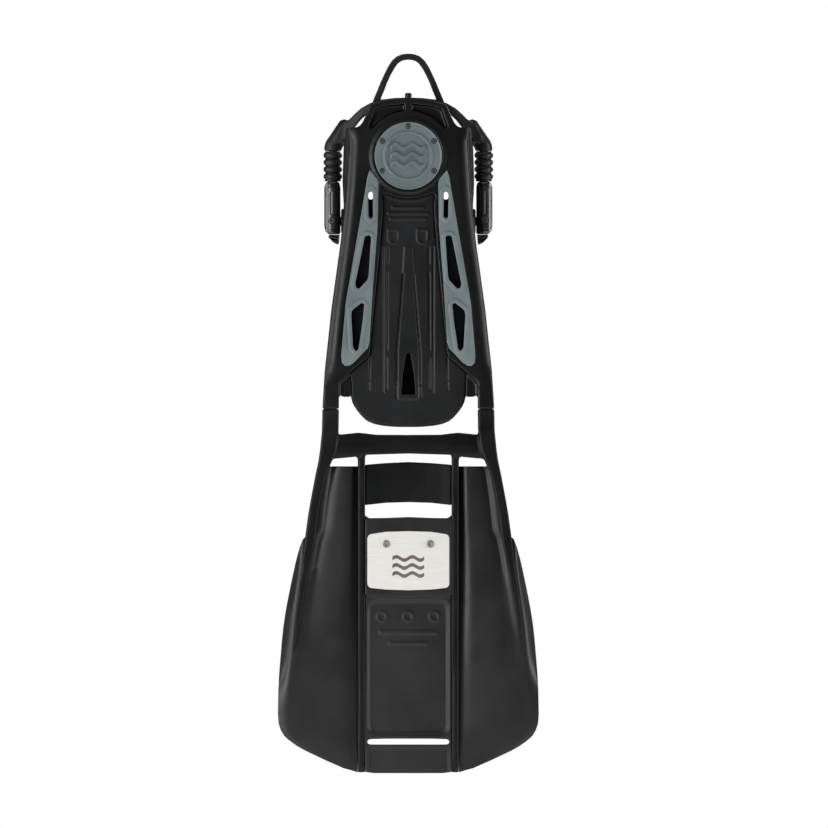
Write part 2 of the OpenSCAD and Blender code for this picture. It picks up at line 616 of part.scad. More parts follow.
module heel_band() color("#17181a") difference() {
  union() {
    intersection() {
      front(post_y - 17, post_y + 17) polygon(sym(concat(band_out, band_in)));
      translate([0, post_y, 500]) linear_extrude(100)
        polygon(sym(concat(band_half,
          [for (i = [len(band_half) - 1:-1:0]) [band_half[i][0], -band_half[i][1]]])));
    }
    both() cord_path(7.8, cuff_z, 19);
    both() translate([strap_x - bend_r, post_y, cuff_z + 1]) rotate([0, -bend_a, 0])
      translate([bend_r, 0, 19]) cylinder(r1 = 7.8, r2 = 5, h = 4);
  }
  both() cord_path(cord_r + 0.4, cuff_z - 1, 9.6);
}

loop_out = [[33.4, 586], [30.6, 594], [27.6, 601], [24.8, 608], [21.6, 615], [18.2, 622], [14.6, 627.6],
  [10.2, 631.6], [5, 633.5], [0, 634]];
loop_in = [[24.8, 588], [24, 595], [21.4, 601], [18.8, 608], [15.6, 615], [12.6, 620.4], [9.4, 625],
  [6.6, 627.2], [3.4, 628.3], [0, 628.6]];

module pull_loop() color("#141517") intersection() {
  front(post_y - 3.2, post_y + 3.2) difference() {
    polygon(sym(loop_out));
    polygon(sym(loop_in));
  }
  // sits on the band's outer surface
  front(0, 80) polygon(sym(concat([for (i = [0:4]) band_out[i]], [[42, 640], [0, 640]])));
}

// ---------- nodes ----------

place() foot_frame();
place() pocket_shell();
place() sole_panel();
place() mirror([1, 0, 0]) grip();  // grip_left
place() grip();  // grip_right
place() heel_disc();
place() disc_screws();
place() heel_peg();
place() mirror([1, 0, 0]) strap_post();  // strap_post_left
place() strap_post();  // strap_post_right
place() mirror([1, 0, 0]) flex_block();  // flex_left
place() flex_block();  // flex_right
place() blade_frame();
place() mirror([1, 0, 0]) wing();  // wing_left
place() wing();  // wing_right
place() centre_bridge();
place() centre_panel();
place() name_plate();
place() plate_screws();
place() plate_nuts();
place() mirror([1, 0, 0]) buckle();  // buckle_left
place() buckle();  // buckle_right
place() mirror([1, 0, 0]) buckle_cover();  // buckle_cover_left
place() buckle_cover();  // buckle_cover_right
place() mirror([1, 0, 0]) clip();  // clip_left
place() clip();  // clip_right
place() buckle_screws();
place() mirror([1, 0, 0]) bungee();  // bungee_left
place() bungee();  // bungee_right
place() mirror([1, 0, 0]) sleeve();  // sleeve_left
place() sleeve();  // sleeve_right
place() heel_band();
place() pull_loop();
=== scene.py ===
"""Open-heel diving fin: foot unit, blade, bungee strap and heel pad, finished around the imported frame."""

import json
import math

import bpy
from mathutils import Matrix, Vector

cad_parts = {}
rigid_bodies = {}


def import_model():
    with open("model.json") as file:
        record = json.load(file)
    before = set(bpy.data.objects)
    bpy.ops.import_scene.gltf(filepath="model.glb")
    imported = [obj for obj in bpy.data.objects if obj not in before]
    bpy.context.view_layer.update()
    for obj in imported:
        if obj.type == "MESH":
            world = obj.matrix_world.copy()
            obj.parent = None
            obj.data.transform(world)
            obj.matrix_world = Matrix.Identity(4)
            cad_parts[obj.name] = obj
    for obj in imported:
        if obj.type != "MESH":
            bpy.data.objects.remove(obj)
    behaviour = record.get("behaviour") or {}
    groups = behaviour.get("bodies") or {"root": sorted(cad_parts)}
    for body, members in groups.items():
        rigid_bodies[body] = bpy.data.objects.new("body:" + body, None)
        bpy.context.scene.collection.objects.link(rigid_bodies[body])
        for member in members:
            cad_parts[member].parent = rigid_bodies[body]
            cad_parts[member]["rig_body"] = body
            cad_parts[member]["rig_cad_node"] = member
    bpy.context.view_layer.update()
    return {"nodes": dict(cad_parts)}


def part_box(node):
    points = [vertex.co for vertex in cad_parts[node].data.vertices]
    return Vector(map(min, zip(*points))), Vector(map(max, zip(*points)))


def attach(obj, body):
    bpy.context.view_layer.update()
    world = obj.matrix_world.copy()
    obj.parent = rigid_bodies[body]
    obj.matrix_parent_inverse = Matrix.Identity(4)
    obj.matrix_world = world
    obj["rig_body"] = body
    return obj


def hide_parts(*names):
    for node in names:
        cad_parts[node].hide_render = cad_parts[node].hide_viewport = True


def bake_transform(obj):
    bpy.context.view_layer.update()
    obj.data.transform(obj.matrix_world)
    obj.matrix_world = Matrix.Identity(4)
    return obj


bl_info = {
    "name": "Open-heel diving fin",
    "version": (1, 0, 0),
    "blender": (4, 5, 0),
    "location": "3D View > Sidebar > Diving fin",
    "description": "Builds the pieces, finishes and studio of an open-heel diving fin",
    "category": "Object",
}

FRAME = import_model()
NODES = FRAME["nodes"]
MM = 0.001
SIDES = ("left", "right")

# Levels along the fin, in metres.
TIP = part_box("centre_panel")[0][2]  # the blade's tip
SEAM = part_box("flex_left")[1][2]  # the seam across each arm
SEAM_GAP = 3 * MM  # what is left crisp beside the seam

# Distances from the middle plane, in millimetres.
ARM_INSIDE = 58  # the arms and rails lie beyond this
RIB_FLANKS = (37.5, 45)  # each long rib of the blade lies between these
BRIDGE_HALF = 33  # half the bridge, between the two ribs
BAND_HALF = 16  # half the band along the middle of the sole
BUCKLE_MIDDLE = 67
BUCKLE_HALF = 7.2
BUCKLE_DROP = 3.6  # how far the buckle's long edges fall back


def height(mm):
    """The level of a point that lies so many millimetres above the blade's tip."""
    return TIP + mm * MM


def zone(low, high, inner_mm=0.0, outer_mm=math.inf):
    """A test for points between two levels and between two distances from the middle plane."""
    return lambda point: low < point.z < high and inner_mm * MM <= abs(point.x) < outer_mm * MM


# ---------- materials ----------


FACTOR, FIRST, SECOND, MIXED = 0, 6, 7, 2  # sockets of a Mix node that mixes two colours
CORNER_MM = 7.0  # painted shade: a moulding's colour is darkened where another face is nearer than this
CLOUDS_PER_METRE = 22.0  # tone varies in clouds of about 45 mm


def linear(code):
    """A hex sRGB colour as linear RGBA."""
    parts = [int(code[i : i + 2], 16) / 255 for i in (1, 3, 5)]
    return [c / 12.92 if c <= 0.04045 else ((c + 0.055) / 1.055) ** 2.4 for c in parts] + [1.0]


def add_node(tree, kind, links=(), sockets=(), **settings):
    """Adds a node: links are its inputs from other nodes, sockets its input values, settings the rest."""
    node = tree.nodes.new(kind)
    for key, value in settings.items():
        setattr(node, key, value)
    for key, value in dict(sockets).items():
        node.inputs[key].default_value = value
    for key, source in dict(links).items():
        tree.links.new(source, node.inputs[key])
    return node


def start_material(name):
    """An empty node material with its shader, output and Object coordinates."""
    material = bpy.data.materials.new(name)
    material.use_nodes = True
    tree = material.node_tree
    tree.nodes.clear()
    shader = add_node(tree, "ShaderNodeBsdfPrincipled")
    add_node(tree, "ShaderNodeOutputMaterial", links={"Surface": shader.outputs["BSDF"]})
    place = add_node(tree, "ShaderNodeTexCoord").outputs["Object"]
    return material, tree, shader, place


def moulded_finish(name, dark, light, rough, specular, grain_mm, bump, worn=0.0):
    """A moulded polymer or rubber.

    Its tone is clouded between dark and light, its edges are rubbed paler by the share in worn, its inner
    corners get a painted shade, and bump raises a mould grain of grain_mm."""
    material, tree, shader, place = start_material(name)
    shader.inputs["IOR"].default_value = 1.5
    shader.inputs["Specular IOR Level"].default_value = specular
    clouds = add_node(
        tree,
        "ShaderNodeTexNoise",
        {"Vector": place},
        {"Scale": CLOUDS_PER_METRE, "Detail": 5.0, "Roughness": 0.6},
    )
    tone = add_node(
        tree,
        "ShaderNodeMapRange",
        {"Value": clouds.outputs["Fac"]},
        {"From Min": 0.35, "From Max": 0.68},
    )
    colour = add_node(
        tree,
        "ShaderNodeMix",
        {FACTOR: tone.outputs["Result"]},
        {FIRST: linear(dark), SECOND: linear(light)},
        data_type="RGBA",
    )
    # Rubbed edges: scuffed polymer returns about twice as much light.
    edge = add_node(tree, "ShaderNodeNewGeometry").outputs["Pointiness"]
    rubbed = add_node(
        tree,
        "ShaderNodeMapRange",
        {"Value": edge},
        {"From Min": 0.53, "From Max": 0.6, "To Max": worn},
    )
    scuffed = [min(1.0, 2.2 * value + 0.03) for value in linear(light)]
    worn_tone = add_node(
        tree,
        "ShaderNodeMix",
        {FACTOR: rubbed.outputs["Result"], FIRST: colour.outputs[MIXED]},
        {SECOND: scuffed},
        data_type="RGBA",
    )
    # Inner corners: painted shade. The colour is darkened where little light gets in, as an ambient
    # occlusion test finds it.
    corner = add_node(
        tree,
        "ShaderNodeAmbientOcclusion",
        sockets={"Distance": CORNER_MM * MM},
        samples=8,
    )
    # Painted shade: the less open a point is, the nearer its colour goes to near black, by up to 85
    # percent.
    corner_shade = add_node(
        tree,
        "ShaderNodeMapRange",
        {"Value": corner.outputs["AO"]},
        {"From Min": 0.9, "From Max": 0.45, "To Max": 0.85},
    )
    finished = add_node(
        tree,
        "ShaderNodeMix",
        {FACTOR: corner_shade.outputs["Result"], FIRST: worn_tone.outputs[MIXED]},
        {SECOND: linear("#050505")},
        data_type="RGBA",
    )
    tree.links.new(finished.outputs[MIXED], shader.inputs["Base Color"])
    # Polish follows the clouds. The mould grain is drawn coarser than the real one, so that it shows.
    polish = add_node(
        tree,
        "ShaderNodeMapRange",
        {"Value": clouds.outputs["Fac"]},
        {"From Min": 0.3, "From Max": 0.7, "To Min": rough - 0.05, "To Max": rough + 0.07},
    )
    tree.links.new(polish.outputs["Result"], shader.inputs["Roughness"])
    grain = add_node(
        tree,
        "ShaderNodeTexNoise",
        {"Vector": place},
        {"Scale": 1 / (grain_mm * MM), "Detail": 2.0, "Roughness": 0.7},
    )
    relief = add_node(
        tree,
        "ShaderNodeBump",
        {"Height": grain.outputs["Fac"]},
        {"Strength": bump, "Distance": 0.12 * MM},
    )
    tree.links.new(relief.outputs["Normal"], shader.inputs["Normal"])
    return material


def brushed_steel(name, per_metre, light, dark, rough, metallic):
    """Stainless steel with fine scratches that spread the highlight.

    per_metre is how many scratches follow one another in a metre along X, Y and Z."""
    material, tree, shader, place = start_material(name)
    shader.inputs["Metallic"].default_value = metallic
    mapping = add_node(tree, "ShaderNodeMapping", {"Vector": place}, {"Scale": per_metre})
    scratches = add_node(
        tree,
        "ShaderNodeTexNoise",
        {"Vector": mapping.outputs["Vector"]},
        {"Scale": 1.0, "Detail": 6.0, "Roughness": 0.75},
    )
    streak = add_node(
        tree,
        "ShaderNodeMapRange",
        {"Value": scratches.outputs["Fac"]},
        {"From Min": 0.3, "From Max": 0.7},
    )
    colour = add_node(
        tree,
        "ShaderNodeMix",
        {FACTOR: streak.outputs["Result"]},
        {FIRST: linear(dark), SECOND: linear(light)},
        data_type="RGBA",
    )
    tree.links.new(colour.outputs[MIXED], shader.inputs["Base Color"])
    spread = add_node(
        tree,
        "ShaderNodeMapRange",
        {"Value": scratches.outputs["Fac"]},
        {"To Min": rough - 0.08, "To Max": rough + 0.1},
    )
    tree.links.new(spread.outputs["Result"], shader.inputs["Roughness"])
    relief = add_node(
        tree,
        "ShaderNodeBump",
        {"Height": scratches.outputs["Fac"]},
        {"Strength": 0.25, "Distance": 0.08 * MM},
    )
    tree.links.new(relief.outputs["Normal"], shader.inputs["Normal"])
    return material


FINISHES = {}


def make_finishes(looks):
    """Every finish of the fin, under a short name."""
    # Stiff elastomer, moulded with a fine satin grain: near black, with soft wide highlights.
    FINISHES["chassis"] = moulded_finish(
        "satin_black_chassis_polymer", "#080909", "#0e0f0f",
        rough=0.34, specular=0.35, grain_mm=0.6, bump=0.25, worn=0.5,
    )
    # The same polymer on the blade, duller, so it reads dark grey under a broad light.
    FINISHES["blade"] = moulded_finish(
        "satin_black_blade_polymer", "#0b0c0c", "#121313",
        rough=0.42, specular=0.22, grain_mm=0.6, bump=0.25, worn=0.5,
    )
    # Soft rubber of the foot pocket: duller still, with a coarse powdery grain.
    FINISHES["pocket"] = moulded_finish(
        "soft_black_pocket_rubber", "#101112", "#191a1c",
        rough=0.58, specular=0.35, grain_mm=0.9, bump=0.35, worn=0.5,
    )
    # Soft rubber of the sole, moulded against a smoother face: a shade paler than the chassis round it.
    FINISHES["sole"] = moulded_finish(
        "soft_black_sole_rubber", "#131415", "#1b1c1e",
        rough=0.42, specular=0.35, grain_mm=0.8, bump=0.3,
    )
    # Flexible rubber of the wings: charcoal, smooth enough for a long sheen in the dished face.
    FINISHES["wing"] = moulded_finish(
        "flexible_blade_rubber", "#1d1d1d", "#252525",
        rough=0.38, specular=0.4, grain_mm=0.7, bump=0.2,
    )
    # Polymer of the blade's centre panel: charcoal, paler than the rails and ribs beside it.
    FINISHES["pad"] = moulded_finish(
        "dark_grey_blade_pad_polymer", "#1b1b1b", "#232323",
        rough=0.42, specular=0.4, grain_mm=0.7, bump=0.2, worn=0.5,
    )
    # Slate grey grip rubber, matt with a pale bloom.
    FINISHES["grip"] = moulded_finish(
        "slate_grey_grip_rubber", looks.grip_dark, looks.grip_light,
        rough=0.5, specular=0.5, grain_mm=0.5, bump=0.35, worn=0.6,
    )
    # The same grey in hard plastic: a little darker and smoother.
    FINISHES["disc"] = moulded_finish(
        "slate_grey_moulded_disc", looks.disc_dark, looks.disc_light,
        rough=0.42, specular=0.5, grain_mm=0.5, bump=0.25, worn=0.4,
    )
    # Glass-filled nylon of the buckles: hard and black, with a clear gloss.
    FINISHES["buckle"] = moulded_finish(
        "glossy_black_buckle_nylon", "#0e0f10", "#151618",
        rough=0.22, specular=1.0, grain_mm=0.5, bump=0.05, worn=0.4,
    )
    # Dark grey nylon of the covers and latches: as glossy, so they stand out from the buckles.
    FINISHES["cover"] = moulded_finish(
        "dark_grey_buckle_cover_nylon", "#242526", "#2e3031",
        rough=0.25, specular=1.0, grain_mm=0.5, bump=0.05,
    )
    # Soft rubber of the heel band and its loop: satin, rubbed paler at the edges by hands.
    FINISHES["band"] = moulded_finish(
        "soft_black_heel_band_rubber", "#0f1011", "#18191b",
        rough=0.5, specular=0.45, grain_mm=0.8, bump=0.3, worn=0.4,
    )
    # Rubber of the sleeves and the cord: smoother, so each rib catches a narrow highlight.
    FINISHES["sleeve"] = moulded_finish(
        "ribbed_black_sleeve_rubber", "#101113", "#191b1d",
        rough=0.42, specular=0.5, grain_mm=0.6, bump=0.2, worn=0.4,
    )
    # Black oxide coat on the small screws: dark grey, without a bare metal's glint.
    FINISHES["dark_screw"] = moulded_finish(
        "black_oxide_screw_steel", "#3e4647", "#525b5c",
        rough=0.35, specular=0.6, grain_mm=0.4, bump=0.1,
    )
    # Steel brushed across to a pale satin, mostly unmetallic: its near-white tone is partly the steel's
    # own, partly a painted reflection.
    # Its scratches are 17 mm long and drawn 0.4 mm wide, coarser than the real ones, so that they show.
    FINISHES["steel"] = brushed_steel(
        "stainless_plate_brushed_across", (60.0, 900.0, 2600.0), "#fbf9f3", "#e6e3db",
        rough=0.42, metallic=0.2,
    )
    # Bare stainless screws and nuts: tumbled, so marks of 0.8 mm run every way.
    FINISHES["bright_screw"] = brushed_steel(
        "stainless_screw_steel", (1200.0, 1200.0, 1200.0), "#d8d7d4", "#9d9c99",
        rough=0.3, metallic=0.9,
    )
    # Steel darkened by a laser in the plate's waves: brown grey and matt.
    FINISHES["etched"] = moulded_finish(
        "laser_darkened_steel", "#5c5248", "#786c60",
        rough=0.5, specular=0.5, grain_mm=0.35, bump=0.3,
    )


# ---------- modelling helpers ----------


def select_only(*objects):
    """Selects these objects alone and makes the first one active."""
    if bpy.context.object and bpy.context.object.mode != "OBJECT":
        bpy.ops.object.mode_set(mode="OBJECT")
    bpy.ops.object.select_all(action="DESELECT")
    for obj in objects:
        obj.select_set(True)
    bpy.context.view_layer.objects.active = objects[0]


def copy_nodes(names, piece):
    """A merged copy of CAD nodes, free of its body, to be finished as a piece."""
    select_only(*[NODES[name] for name in names])
    bpy.ops.object.duplicate()
    bpy.ops.object.parent_clear(type="CLEAR_KEEP_TRANSFORM")
    if len(names) > 1:
        bpy.ops.object.join()
    obj = bpy.context.object
    obj.name = piece
    obj.data.name = piece
    obj.data.materials.clear()
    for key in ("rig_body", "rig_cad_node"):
        if key in obj:
            del obj[key]
    if obj.data.has_custom_normals:
        bpy.ops.mesh.customdata_custom_splitnormals_clear()
    bpy.ops.object.mode_set(mode="EDIT")
    bpy.ops.mesh.select_all(action="SELECT")
    bpy.ops.mesh.remove_doubles(threshold=0.004 * MM)
    bpy.ops.object.mode_set(mode="OBJECT")
    return obj


def apply_modifier(obj, kind, **settings):
    """Adds a modifier with its settings and applies it."""
    select_only(obj)
    modifier = obj.modifiers.new(kind.title(), kind)
    for key, value in settings.items():
        setattr(modifier, key, value)
    bpy.ops.object.modifier_apply(modifier=modifier.name)


def dissolve_flat(obj):
    """Turns the loose triangles of flat faces into whole faces."""
    select_only(obj)
    bpy.ops.object.mode_set(mode="EDIT")
    bpy.ops.mesh.select_all(action="SELECT")
    bpy.ops.mesh.dissolve_limited(angle_limit=math.radians(1))
    bpy.ops.object.mode_set(mode="OBJECT")


def smooth_shade(obj, degrees=None):
    """Shades a piece smooth, or only where its faces meet at less than the given angle."""
    select_only(obj)
    if degrees is None:
        bpy.ops.object.shade_smooth()
    else:
        bpy.ops.object.shade_smooth_by_angle(angle=math.radians(degrees))


def dress(obj, finish, slot, body, *nodes):
    """Gives a piece its finish and, when a body is given, its place in the assembly. A piece given no body
    rides on none.
    """
    obj.data.materials.append(FINISHES[finish])
    if body:
        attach(obj, body)
    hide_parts(*nodes)


def moulded(names, piece, voxel_mm, rounds, soft_spots=()):
    """A piece with the rounded edges of a moulding: a copy is remeshed evenly and its edges are relaxed.

    soft_spots holds (test, rounds) pairs: where test(point) is true, the edges are relaxed further."""
    obj = copy_nodes(names, piece)
    apply_modifier(obj, "REMESH", mode="VOXEL", voxel_size=voxel_mm * MM, adaptivity=0.0)
    apply_modifier(obj, "SMOOTH", factor=0.5, iterations=rounds)
    for test, more in soft_spots:
        group = obj.vertex_groups.new(name="soft")
        group.add([v.index for v in obj.data.vertices if test(v.co)], 1.0, "REPLACE")
        apply_modifier(obj, "SMOOTH", factor=0.5, iterations=more, vertex_group="soft")
        obj.vertex_groups.remove(obj.vertex_groups["soft"])
    smooth_shade(obj)
    return obj


def edged(names, piece, width_mm, segments=2):
    """A crisp piece: a copy whose edges get a small rounded bevel."""
    obj = copy_nodes(names, piece)
    dissolve_flat(obj)
    apply_modifier(
        obj,
        "BEVEL",
        width=width_mm * MM,
        segments=segments,
        limit_method="ANGLE",
        angle_limit=math.radians(28),
        use_clamp_overlap=False,
    )
    smooth_shade(obj, 40)
    apply_modifier(obj, "WEIGHTED_NORMAL", keep_sharp=True)
    return obj


def fall_back(obj, low, high, width_mm, drop_mm):
    """Rounds the chassis's flanks: between two levels its sole side falls back towards its outline."""
    strip = 3 * MM  # the outline is read in strips of this height
    fade_low, fade_high = 25 * MM, 14 * MM
    outline = {}
    for v in obj.data.vertices:
        key = math.floor(v.co.z / strip)
        outline[key] = max(outline.get(key, 0.0), abs(v.co.x))
    front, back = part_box("foot_frame")[0][1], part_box("sole_panel")[1][1]
    for v in obj.data.vertices:
        if not (low < v.co.z < high and v.co.y < back):
            continue
        key, part = divmod(v.co.z / strip - 0.5, 1)
        edge = outline.get(key, 0.0) * (1 - part) + outline.get(key + 1, 0.0) * part
        inward = (abs(v.co.x) - edge) / (width_mm * MM) + 1
        fade = min(1.0, (v.co.z - low) / fade_low, (high - v.co.z) / fade_high)
        if inward > 0:
            v.co.y += drop_mm * MM * inward**2 * fade * min(1.0, (back - v.co.y) / (back - front))


def rim_and_ribs(obj, bead_mm, rib_mm):
    """Thickens the pocket's rim to a bead and raises three ribs over its instep."""
    strip = 2 * MM  # the rim is read in strips of this depth
    bead_half = 7 * MM
    bead_start = 14 * MM  # on the footbed side of this depth the rim stays thin
    rib_places, rib_half = (0, 17), 3.5 * MM
    low, high, fade_length = height(336), height(430), 14 * MM
    rim = {}
    for v in obj.data.vertices:
        key = round(v.co.y / strip)
        rim[key] = max(rim.get(key, v.co.z), v.co.z)
    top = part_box("pocket_shell")[1][1]
    normals = [v.normal.copy() for v in obj.data.vertices]  # read first: a move makes them all anew
    for v, normal in zip(obj.data.vertices, normals):
        below = (rim[round(v.co.y / strip)] - v.co.z) / bead_half - 1
        if v.co.y > bead_start and abs(below) < 1:
            v.co += normal * bead_mm * MM * math.sqrt(1 - below**2)
        elif normal.y > 0.3 and low < v.co.z < high:
            across = min(abs(abs(v.co.x) - place * MM) for place in rib_places) / rib_half
            fade = min(1.0, (v.co.z - low) / fade_length, (high - v.co.z) / fade_length)
            if across < 1:
                v.co += normal * rib_mm * MM * fade * (1 - across**2)
        v.co.y = min(v.co.y, top)


def crown(obj):
    """Rounds a buckle across its width: both faces fall back towards its two long edges."""
    level = (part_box("buckle_left")[0][1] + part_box("buckle_left")[1][1]) / 2
    full_depth = 9 * MM  # from here outwards a face falls back by the whole drop
    for v in obj.data.vertices:
        across = min(1.0, abs(abs(v.co.x) - BUCKLE_MIDDLE * MM) / (BUCKLE_HALF * MM))
        depth = (v.co.y - level) / full_depth
        v.co.y -= BUCKLE_DROP * MM * across**2 * max(-1.0, min(1.0, depth))


# ---------- sizes and colours a user would change ----------


class FinLooks(bpy.types.PropertyGroup):
    """Mesh pitch and the colours of the grey pieces."""

    voxel: bpy.props.FloatProperty(
        name="Mesh pitch",
        description="Pitch of the even mesh on rounded mouldings, in millimetres",
        default=1.0,
        min=0.6,
        max=2.0,
    )
    grip_dark: bpy.props.StringProperty(
        name="Grip pads, dark",
        description="Darker tone of the grip pads, as a hex sRGB colour",
        default="#687475",
    )
    grip_light: bpy.props.StringProperty(
        name="Grip pads, light",
        description="Paler tone of the grip pads, as a hex sRGB colour",
        default="#788485",
    )
    disc_dark: bpy.props.StringProperty(
        name="Heel disc, dark",
        description="Darker tone of the heel disc, as a hex sRGB colour",
        default="#647071",
    )
    disc_light: bpy.props.StringProperty(
        name="Heel disc, light",
        description="Paler tone of the heel disc, as a hex sRGB colour",
        default="#748081",
    )


class FinStage(bpy.types.PropertyGroup):
    """Camera and light of the studio."""

    distance: bpy.props.FloatProperty(
        name="Camera distance",
        description="From the camera to the sole",
        default=14.0,
        min=2.0,
        max=20.0,
        unit="LENGTH",
    )
    azimuth: bpy.props.FloatProperty(
        name="Camera azimuth",
        description="Turn of the camera round the fin, from square at the sole",
        default=0.0,
        min=-0.5,
        max=0.5,
        subtype="ANGLE",
    )
    view_width: bpy.props.FloatProperty(
        name="View width",
        description="Width of the view at the sole",
        default=0.7286,
        min=0.5,
        max=1.5,
        unit="LENGTH",
    )
    fill: bpy.props.FloatProperty(
        name="Fill light",
        description="Brightness of the studio's walls as the fin sees them",
        default=0.14,
        min=0.0,
        max=1.0,
        subtype="FACTOR",
    )
    floor_gap: bpy.props.FloatProperty(
        name="Floor gap",
        description="Height of the blade's tip above the floor",
        default=0.1,
        min=0.0,
        max=0.2,
        unit="LENGTH",
    )


# ---------- pieces ----------


class FIN_OT_finishes(bpy.types.Operator):
    """Make every finish"""

    bl_idname = "fin.finishes"
    bl_label = "Finishes"

    def execute(self, context):
        make_finishes(context.scene.fin_looks)
        return {"FINISHED"}


class FIN_OT_foot(bpy.types.Operator):
    """Chassis, soft pocket and heel peg of the foot unit"""

    bl_idname = "fin.foot"
    bl_label = "Foot unit"

    def execute(self, context):
        pitch = context.scene.fin_looks.voxel
        arms = zone(SEAM + SEAM_GAP, height(352), inner_mm=ARM_INSIDE)
        chassis = moulded(["foot_frame"], "foot_chassis", pitch, 5, [(arms, 6)])
        fall_back(chassis, height(338), height(569), width_mm=10, drop_mm=5)
        dress(chassis, "chassis", "frame_polymer", "foot_unit", "foot_frame")
        pocket = moulded(["pocket_shell"], "foot_pocket", pitch * 1.2, 10)
        rim_and_ribs(pocket, bead_mm=1.3, rib_mm=1.6)
        dress(pocket, "pocket", "pocket_rubber", "foot_unit", "pocket_shell")
        peg = edged(["heel_peg"], "heel_peg_tip", 0.3)
        dress(peg, "chassis", "frame_polymer", "foot_unit", "heel_peg")
        return {"FINISHED"}


class FIN_OT_sole(bpy.types.Operator):
    """Grooved sole panel, grip pads, heel disc and its screws"""

    bl_idname = "fin.sole"
    bl_label = "Sole"

    def execute(self, context):
        # The band's slanting edges cross the even mesh, so they are relaxed until no steps show.
        band = zone(height(350), height(486), outer_mm=BAND_HALF)
        panel = moulded(["sole_panel"], "grooved_sole", 0.6, 2, [(band, 5)])
        dress(panel, "sole", "sole_rubber", "foot_unit", "sole_panel")
        for side in SIDES:
            pad = moulded([f"grip_{side}"], f"grip_pad_{side}", 0.45, 3)
            dress(pad, "grip", "grip_rubber", "foot_unit", f"grip_{side}")
        disc = moulded(["heel_disc"], "heel_medallion", 0.4, 2)
        dress(disc, "disc", "disc_plastic", "foot_unit", "heel_disc")
        screws = edged(["disc_screws"], "medallion_screws", 0.2)
        dress(screws, "dark_screw", "dark_screws", "foot_unit", "disc_screws")
        return {"FINISHED"}


class FIN_OT_blade(bpy.types.Operator):
    """Rails, ribs, wings, bridge and centre panel of the blade"""

    bl_idname = "fin.blade"
    bl_label = "Blade"

    def execute(self, context):
        pitch = context.scene.fin_looks.voxel
        rails = zone(height(215), SEAM - SEAM_GAP, inner_mm=ARM_INSIDE)
        ribs = zone(height(2), height(279), *RIB_FLANKS)
        spine = moulded(
            ["blade_frame", "flex_left", "flex_right"], "blade_spine", pitch, 5, [(rails, 6), (ribs, 8)]
        )
        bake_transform(spine)
        dress(spine, "blade", "blade_polymer", None, "blade_frame", "flex_left", "flex_right")
        fold = math.radians(50)  # edges sharper than this stay folds in the smooth wing
        for side in SIDES:
            wing = copy_nodes([f"wing_{side}"], f"blade_wing_{side}")
            bpy.ops.object.mode_set(mode="EDIT")
            bpy.ops.mesh.select_all(action="SELECT")
            bpy.ops.mesh.tris_convert_to_quads(face_threshold=0.9, shape_threshold=0.9)
            bpy.ops.mesh.select_all(action="DESELECT")
            bpy.ops.mesh.edges_select_sharp(sharpness=fold)
            bpy.ops.transform.edge_crease(value=1.0)
            bpy.ops.object.mode_set(mode="OBJECT")
            apply_modifier(wing, "SUBSURF", levels=1, render_levels=1)
            apply_modifier(
                wing, "BEVEL", width=0.7 * MM, segments=2, limit_method="ANGLE", angle_limit=fold
            )
            smooth_shade(wing)
            dress(wing, "wing", "wing_rubber", "blade", f"wing_{side}")
        arch = zone(height(243), height(266), outer_mm=BRIDGE_HALF)
        bridge = moulded(["centre_bridge"], "blade_bridge", pitch * 0.7, 4, [(arch, 40)])
        dress(bridge, "blade", "wing_rubber", "blade", "centre_bridge")
        panel = moulded(["centre_panel"], "blade_centre", pitch * 0.8, 4)
        dress(panel, "pad", "blade_polymer", "blade", "centre_panel")
        return {"FINISHED"}


class FIN_OT_plate(bpy.types.Operator):
    """Brushed steel plate with its waves, screws and nuts"""

    bl_idname = "fin.plate"
    bl_label = "Steel plate"

    def execute(self, context):
        plate = edged(["name_plate"], "steel_plate", 0.15)
        dress(plate, "steel", "plate_steel", "blade", "name_plate")
        # The floors of the sunk waves get the second finish.
        plate.data.materials.append(FINISHES["etched"])
        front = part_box("name_plate")[0][1]
        for face in plate.data.polygons:
            sunk = face.center.y - front
            if face.normal.y < -0.9 and 0.2 * MM < sunk < 0.6 * MM:
                face.material_index = 1
        screws = edged(["plate_screws"], "plate_screw_heads", 0.25)
        dress(screws, "bright_screw", "screw_steel", "blade", "plate_screws")
        nuts = edged(["plate_nuts"], "plate_nut_set", 0.3)
        dress(nuts, "bright_screw", "screw_steel", "blade", "plate_nuts")
        return {"FINISHED"}


class FIN_OT_strap(bpy.types.Operator):
    """Posts, buckles, covers, latches, ribbed sleeves and cord"""

    bl_idname = "fin.strap"
    bl_label = "Strap"

    def execute(self, context):
        for side in SIDES:
            post = edged([f"strap_post_{side}"], f"post_{side}", 0.4)
            dress(post, "chassis", "post_plastic", "foot_unit", f"strap_post_{side}")
            buckle = moulded([f"buckle_{side}"], f"strap_buckle_{side}", 0.5, 5)
            crown(buckle)
            dress(buckle, "buckle", "buckle_plastic", "strap", f"buckle_{side}")
            cover = moulded([f"buckle_cover_{side}"], f"buckle_face_{side}", 0.35, 3)
            crown(cover)
            dress(cover, "cover", "cover_plastic", "strap", f"buckle_cover_{side}")
            latch = edged([f"clip_{side}"], f"latch_{side}", 0.6, 3)
            dress(latch, "cover", "cover_plastic", "strap", f"clip_{side}")
            sleeve = moulded([f"sleeve_{side}"], f"ribbed_sleeve_{side}", 0.4, 2)
            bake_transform(sleeve)
            dress(sleeve, "sleeve", "sleeve_rubber", None, f"sleeve_{side}")
            cord = moulded([f"bungee_{side}"], f"cord_{side}", 0.5, 1)
            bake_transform(cord)
            dress(cord, "sleeve", "cord_rubber", None, f"bungee_{side}")
        screws = edged(["buckle_screws"], "buckle_screw_heads", 0.2)
        dress(screws, "dark_screw", "dark_screws", "strap", "buckle_screws")
        return {"FINISHED"}


